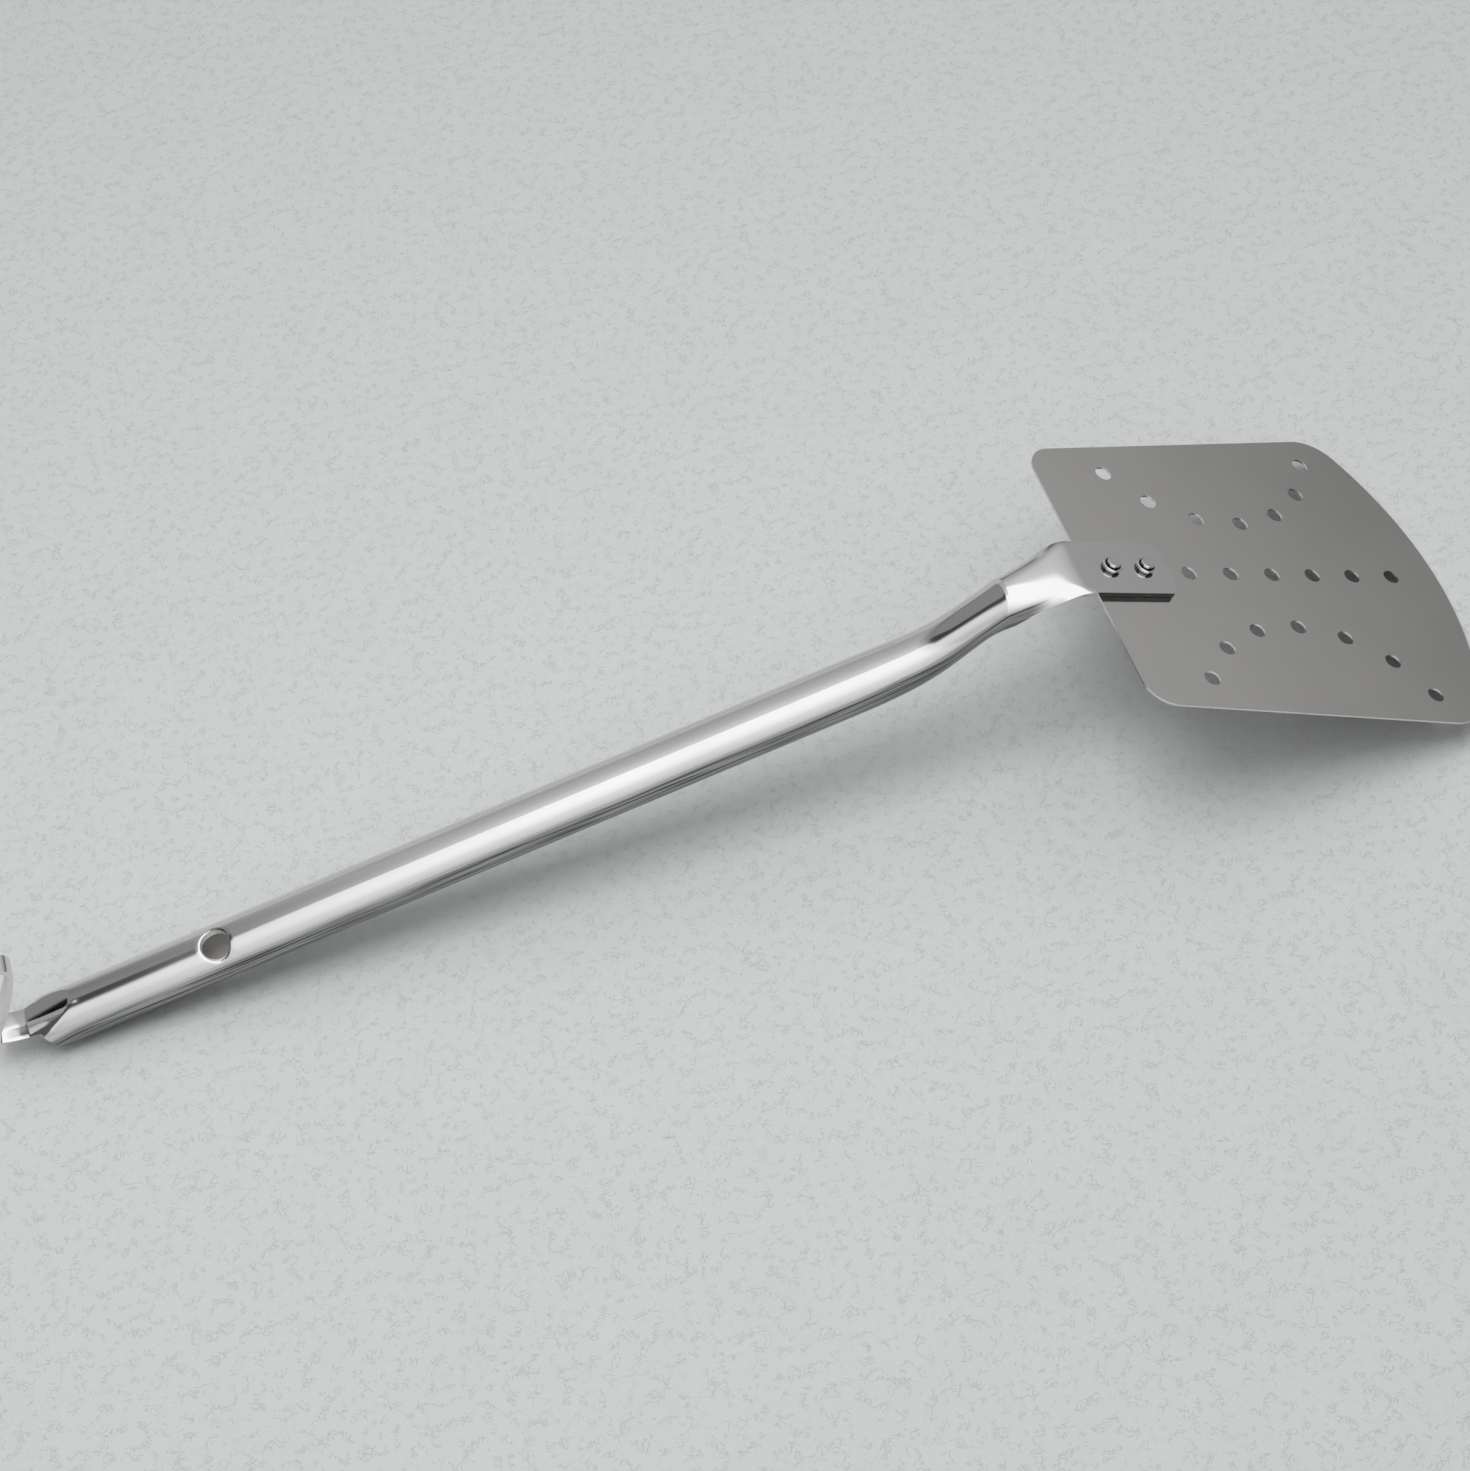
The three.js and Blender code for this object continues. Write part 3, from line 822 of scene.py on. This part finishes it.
dome = [
    (BASE * math.cos(a), UNDER - SHOULDER - (BASE_HEIGHT - SHOULDER) * math.sin(a))
    for a in reversed(quarter[:-1])
]
profile = [
    (0.0, UNDER - BASE_HEIGHT), *dome, (BASE, UNDER),
    (SHANK, UNDER), (SHANK, SEAT),
    (HEAD - FOOT, SEAT), (HEAD - FOOT, SEAT + FOOT), *shoulder(HEAD, SEAT + FLANGE),
    (GROOVE, SEAT + FLANGE), (GROOVE, SEAT + FLANGE / 2),
    (BOSS, SEAT + FLANGE / 2), *shoulder(BOSS, SEAT + HEAD_HEIGHT),
    (BOSS - CAP, SEAT + HEAD_HEIGHT), (0.0, SEAT + HEAD_HEIGHT),
]
print("rivet profile:", len(profile), "points")

# %% Rivet turned from its profile
SPIN_STEPS, SHARP, NEARLY, FLOOR = 48, math.radians(40), 0.01, 0.1
turned = bmesh.new()
line = [turned.verts.new((r, 0.0, h)) for r, h in profile]
edges = [turned.edges.new(pair) for pair in zip(line, line[1:])]
bmesh.ops.spin(
    turned, geom=line + edges, cent=(0, 0, 0), axis=(0, 0, 1), angle=2 * math.pi, steps=SPIN_STEPS
)
bmesh.ops.remove_doubles(turned, verts=turned.verts, dist=WELDED)
bmesh.ops.recalc_face_normals(turned, faces=turned.faces)
drawn = new_piece("rivet_shape", [], [], [])
turned.to_mesh(drawn.data)
turned.free()
drawn.data.shade_smooth()
drawn.data.set_sharp_from_angle(angle=SHARP)
# Marks the points in the groove and at the foot of the flange, which the rivet steel darkens as painted
# shade.
grime = drawn.data.attributes.new("grime", "FLOAT", "POINT")
for spot in drawn.data.vertices:
    out, up = math.hypot(spot.co.x, spot.co.y), spot.co.z - SEAT
    in_groove = BOSS - NEARLY < out < GROOVE + NEARLY and FLOOR < up < FLANGE / 2 + NEARLY
    at_foot = HEAD - FOOT - NEARLY < out and 0.0 <= up < FOOT + NEARLY
    grime.data[spot.index].value = float(in_groove or at_foot)
print("rivet:", len(drawn.data.polygons), "faces")

# %% [markdown]
# ## Rivets: the pair
# The two rivets are the same, in line with the handle. They could be copied by hand, but a geometry tree
# puts the shape on a line of points whose start and pitch are the ones that placed the rivet holes.

# %% Rivet pair
rivet_row = geometry_tree(
    "rivet_row",
    [("Count", "Int"), ("Rear rivet", "Float"), ("Rivet pitch", "Float"), ("Steel", "Material")],
)
given = rivet_row.node("NodeGroupInput")
spots = rivet_row.node(
    "GeometryNodeMeshLine", {},
    {"Count": given.out("Count"),
     "Start Location": rivet_row.node("ShaderNodeCombineXYZ", {}, {0: given.out("Rear rivet")}),
     "Offset": rivet_row.node("ShaderNodeCombineXYZ", {}, {0: given.out("Rivet pitch")})},
)
placed = rivet_row.node("GeometryNodeInstanceOnPoints", {}, {"Points": spots, "Instance": given})
real = rivet_row.node("GeometryNodeRealizeInstances", {}, {"Geometry": placed})
coated = rivet_row.node("GeometryNodeSetMaterial", {}, {"Geometry": real, "Material": given.out("Steel")})
rivet_row.node("NodeGroupOutput", {}, {0: coated})
rivet_places = {"Count": RIVETS, "Rear rivet": REAR_RIVET, "Rivet pitch": RIVET_PITCH}
run_tree(drawn, rivet_row, {**rivet_places, "Steel": rivet_steel})
rivets = made_plain(drawn, "rivet_pair")

# %% Lay the pieces down
finish_piece(blade, ["blade"])
finish_piece(handle, ["handle"])
finish_piece(rivets, ["rivet_rear", "rivet_front"])
print("laid down:", [piece.name for piece in (blade, handle, rivets)])

# %% [markdown]
# ## Table
# The spatula lies on a plain, pale, cool grey sheet of rough paper. An even grey would look like a
# screen, so the paper has short fibres. They are thin lines where a noise crosses its middle value,
# broken up by a second noise, and a faint mottle lies under them.

# %% Table
TABLE_HALF, TABLE_TOP = 4.0, -0.0001
DARK_PAPER, PALE_PAPER, PAPER_ROUGH = (0.545, 0.562, 0.557, 1.0), (0.62, 0.637, 0.632, 1.0), 0.9
MOTTLE_SCALE, CRUMPLE_SCALE, BREAK_SCALE, CRUMPLE_TWIST = 40.0, 420.0, 280.0, 1.2
FIBRE_WIDTH, FIBRE_BREAKS, FIBRE_DARK, FIBRE_HEIGHT = 0.035, (0.46, 0.6), 0.75, 0.5
CRUMPLE_STRENGTH, CRUMPLE_DEPTH = 0.6, 0.0003
LEAST_PALE, MOTTLE_PALE = 0.5, 0.35
corners = [(-1, -1), (1, -1), (1, 1), (-1, 1)]
table_points = [(TABLE_HALF * x, TABLE_HALF * y, TABLE_TOP) for x, y in corners]
table = new_piece("table_top", table_points, [], [(0, 1, 2, 3)])
paper = bpy.data.materials.new("pale_paper")
board = cleared_board(paper)
place = board.node("ShaderNodeTexCoord", out="Object")
mottle = board.node("ShaderNodeTexNoise", {}, {"Vector": place, "Scale": MOTTLE_SCALE, "Detail": 3.0})
crumple = board.node(
    "ShaderNodeTexNoise", {},
    {"Vector": place, "Scale": CRUMPLE_SCALE, "Detail": 2.0, "Distortion": CRUMPLE_TWIST},
)
broken = board.node("ShaderNodeTexNoise", {}, {"Vector": place, "Scale": BREAK_SCALE, "Detail": 1.0})
off_line = crumple.sum("ABSOLUTE", crumple - 0.5)
fibre = board.ease(off_line, FIBRE_WIDTH, 0.0) * board.ease(broken, *FIBRE_BREAKS)
paleness = LEAST_PALE + MOTTLE_PALE * mottle - FIBRE_DARK * fibre
colour = board.node(
    "ShaderNodeMix", {"data_type": "RGBA"}, {0: paleness, 6: DARK_PAPER, 7: PALE_PAPER}, out=2
)
raised = board.node(
    "ShaderNodeBump", {},
    {"Strength": CRUMPLE_STRENGTH, "Distance": CRUMPLE_DEPTH, "Height": crumple + FIBRE_HEIGHT * fibre},
)
matte = board.node(
    "ShaderNodeBsdfPrincipled", {}, {"Base Color": colour, "Roughness": PAPER_ROUGH, "Normal": raised}
)
board.node("ShaderNodeOutputMaterial", {}, {"Surface": matte})
table.data.materials.append(paper)
print("table:", 2 * TABLE_HALF, "m wide")

# %% [markdown]
# ## Light from above
# A large lamp hangs over the table and gives the soft shadow straight below the tool. A bare sky would
# give hardly any shadow, and a small lamp a hard one. The lamp is kept out of the reflections, because
# the room in the next step draws those.

# %% Overhead lamp
LAMP_AT, LAMP_SIZE, LAMP_POWER = (-0.1, -0.03, 1.0), 0.55, 4.4
lamp = bpy.data.lights.new("overhead_lamp", "AREA")
lamp.size = LAMP_SIZE
lamp.energy = LAMP_POWER
overhead = bpy.data.objects.new("overhead_lamp", lamp)
overhead.location = LAMP_AT
overhead.visible_glossy = False
bpy.context.collection.objects.link(overhead)
print("lamp at", LAMP_AT, "of", LAMP_POWER, "W")

# %% [markdown]
# ## The room in the reflections
# Polished steel shows the room more than it shows itself, so the room matters. It could be built from
# panels, but a world whose tone depends on the direction is easier to tune. It has a softbox on the near
# side that ends straight overhead, another on the right that reaches further back, a dark gap on the
# left, grey walls on the far side and darkness at the near right. A direction has three parts, from -1 to
# 1: right, far and high.

# %% Directions in the room
room = bpy.data.worlds.new("studio_room")
bpy.context.scene.world = room
board = cleared_board(room)
way = board.node("ShaderNodeTexCoord", out="Generated")
parts = board.node("ShaderNodeSeparateXYZ", {}, {0: way})
right, far, high = parts.out(0), parts.out(1), parts.out(2)
around = way.sum("ARCTAN2", high, 0.0 - far) / math.pi
ease = board.ease


def tones(value, stops):
    """A tone that changes with the value through the given stops."""
    return board.node("ShaderNodeValToRGB", {"stops": stops}, {0: value})


def tones_around(stops):
    """A tone that changes with the angle in degrees, from the near horizon over the top to the far one."""
    return tones(around, [(angle / 180, tone) for angle, tone in stops])


def lesser(first, second):
    return way.sum("MINIMUM", first, second)


def greater(first, second):
    return way.sum("MAXIMUM", first, second)


# %% [markdown]
# ### Walls
# The walls are what the steel shows where no softbox is: the far wall behind the tube, which fades to the
# left, the left side with its gap and its wall, and the right wall, which the blade shows. Beyond a
# certain direction on the left the gap is deeper, and that is what the pressed tail shows.

# %% Walls
FAR_WALL = [
    (0, 0.84), (88, 0.84), (100, 0.75), (110, 0.64), (120, 0.57), (130, 0.52), (140, 0.486), (150, 0.444),
    (156, 0.44), (161, 0.47), (169, 0.58), (180, 0.6),
]
LEFT_FADE = [(0.25, 1.0), (0.27, 0.97), (0.31, 0.72), (0.335, 0.62), (0.37, 0.42), (0.4, 0.33), (0.5, 0.33)]
RIGHT_WALL = [
    (0.0, 0.10), (0.18, 0.256), (0.218, 0.33), (0.257, 0.39), (0.28, 0.41), (0.42, 0.52), (0.56, 0.61),
    (0.67, 0.67), (0.76, 0.72), (0.85, 0.8), (1.0, 0.85),
]
LEFT_GAP, LEFT_WALL, NEAR_RIGHT = 0.06, 0.285, 0.055
BEYOND, BEYOND_DARKER, BEYOND_GLOW = (-0.625, -0.66), 0.93, 0.1
WALL_SLOPE, WALL_TURNS, WALL_DROP, WALL_BLUR = 0.28, 0.42, -0.12, 0.06
BEYOND_SLOPE, BEYOND_START, BEYOND_BLUR = 0.87, 0.12, 0.1
GLOW_SLOPE, GLOW_BLUR = 0.5, 0.05
LEFT_SIDE, RIGHT_SIDE, RIGHT_NEARS = (-0.35, -0.4), (0.0, 0.12), (-0.1, 0.35)
beyond = ease(right, *BEYOND)
left_gap = LEFT_GAP * (1 - BEYOND_DARKER * beyond)
wall_start = WALL_SLOPE * high + greater(lesser(right + WALL_TURNS, 0.0), WALL_DROP)
wall_start = wall_start + (BEYOND_SLOPE * high + BEYOND_START) * beyond
past_start = (far - wall_start) / (WALL_BLUR + BEYOND_BLUR * beyond)
left_side = mix(left_gap, LEFT_WALL, ease(past_start, -1.0, 1.0))
left_side = left_side + BEYOND_GLOW * beyond * ease(GLOW_SLOPE * high - far, -GLOW_BLUR, GLOW_BLUR)
right_wall = mix(NEAR_RIGHT, tones(high, RIGHT_WALL), ease(far, *RIGHT_NEARS))
far_wall = tones_around(FAR_WALL) * tones(0.0 - right, LEFT_FADE)
walls = mix(mix(far_wall, left_side, ease(right, *LEFT_SIDE)), right_wall, ease(right, *RIGHT_SIDE))
print("walls:", len(board.tree.nodes), "nodes")

# %% [markdown]
# ### Softboxes
# The softboxes make the long bright band along the tube. Their far edge is a few straight lines, each a
# slant in the directions, and the band's far side on the tube is the mirror image of that edge.

# %% Softboxes
SOFTBOX = [(0, 0.69), (10, 0.78), (20, 0.875), (30, 0.945), (40, 1.11), (50, 1.2), (60, 1.25), (180, 1.25)]
LEFT_DIMMER, LEFT_DIMS = 0.27, (-0.22, -0.42)
OVERHEAD_EDGE, CUT_EDGE, LOW_EDGE = (-0.03, 0.0, 0.0), (0.86, 2.5, 0.0), (-0.06, -0.2, -0.273)
RIGHT_EDGE, RIGHT_BOX, RIGHT_END = (0.6, 0.0, 0.0), (-0.05, 0.0), (1.5, -1.0, 0.0)
EDGE_BLUR, LEFT_BLUR, RIGHT_BLUR, END_BLUR = 0.015, 0.11, 0.09, 0.1
LEFT_BLURS, RIGHT_BLURS = (-0.33, -0.39), (-0.06, 0.02)


def slant(by_high, by_right, start):
    return by_high * high + by_right * right + start


softbox = tones_around(SOFTBOX) * (1 - LEFT_DIMMER * ease(right, *LEFT_DIMS))
left_edge = lesser(slant(*OVERHEAD_EDGE), greater(slant(*CUT_EDGE), slant(*LOW_EDGE)))
edge = mix(left_edge, slant(*RIGHT_EDGE), ease(right, *RIGHT_BOX))
blur = EDGE_BLUR + LEFT_BLUR * ease(right, *LEFT_BLURS) + RIGHT_BLUR * ease(right, *RIGHT_BLURS)
ended = ease(slant(*RIGHT_END), -END_BLUR, END_BLUR)
lit = ease((edge - far) / blur, -1.0, 1.0) * ended * (1 - beyond)
tone = mix(walls, softbox, lit)
print("walls and softboxes:", len(board.tree.nodes), "nodes")

# %% [markdown]
# ### Who sees the room
# Only mirror reflections, and rays that pass through a surface, show the room. Dull surfaces get a plain
# light from overhead, so that the lamp keeps its shadow, and the camera sees a pale backdrop past the
# edge of the table.

# %% Light of the room
PLAIN_LIGHT, PLAIN_HIGH, BOUNCE_DIMMER, BACKDROP = 1.0, (0.3, 0.9), 0.85, 0.58
seen = board.node("ShaderNodeLightPath")
bounced = lesser(seen.out("Diffuse Depth"), 1.0)
mirrored = seen.out("Is Glossy Ray") * (1 - bounced)
shown = greater(mirrored, seen.out("Is Transmission Ray"))
plain = PLAIN_LIGHT * ease(high, *PLAIN_HIGH) * (1 - BOUNCE_DIMMER * bounced * seen.out("Is Glossy Ray"))
strength = mix(mix(plain, tone, shown), BACKDROP, seen.out("Is Camera Ray"))
light = board.node("ShaderNodeBackground", {}, {"Color": (1.0, 1.0, 1.0, 1.0), "Strength": strength})
board.node("ShaderNodeOutputWorld", {}, {"Surface": light})
print("room:", len(board.tree.nodes), "nodes")
